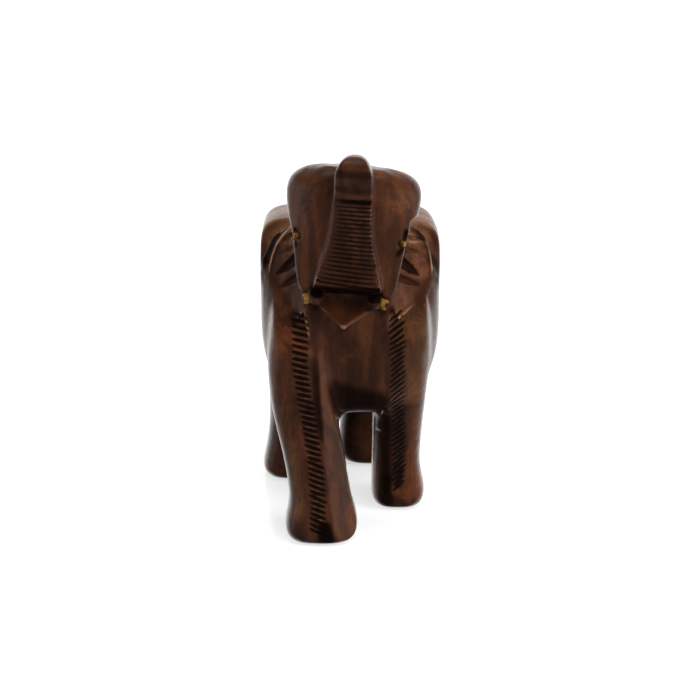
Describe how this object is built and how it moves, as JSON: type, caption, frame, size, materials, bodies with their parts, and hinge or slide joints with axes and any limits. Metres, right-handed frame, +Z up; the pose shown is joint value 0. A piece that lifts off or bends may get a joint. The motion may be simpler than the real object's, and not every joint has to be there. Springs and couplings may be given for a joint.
{
  "type": "carved wooden elephant figurine",
  "caption": "Standing elephant carved from one block of dark lacquered wood, trunk raised against the forehead, ribbed trunk and forelegs, brass eye pins and brass tusk ferrules.",
  "frame": {"origin": "middle of the footprint, on the ground the soles stand on", "axes": "+Z up from the soles to the raised trunk; the elephant looks along -Y; its left as seen from the front is -X"},
  "size_m": [0.072, 0.126, 0.15],
  "materials": {
    "lacquered_wood": "gloss lacquer over dark reddish-brown hardwood",
    "brass": "polished"
  },
  "bodies": {
    "root": {"carved_body": "lacquered_wood", "left_eye_pin": "brass", "right_eye_pin": "brass", "left_tusk_ferrule": "brass", "right_tusk_ferrule": "brass"}
  },
  "joints": []
}
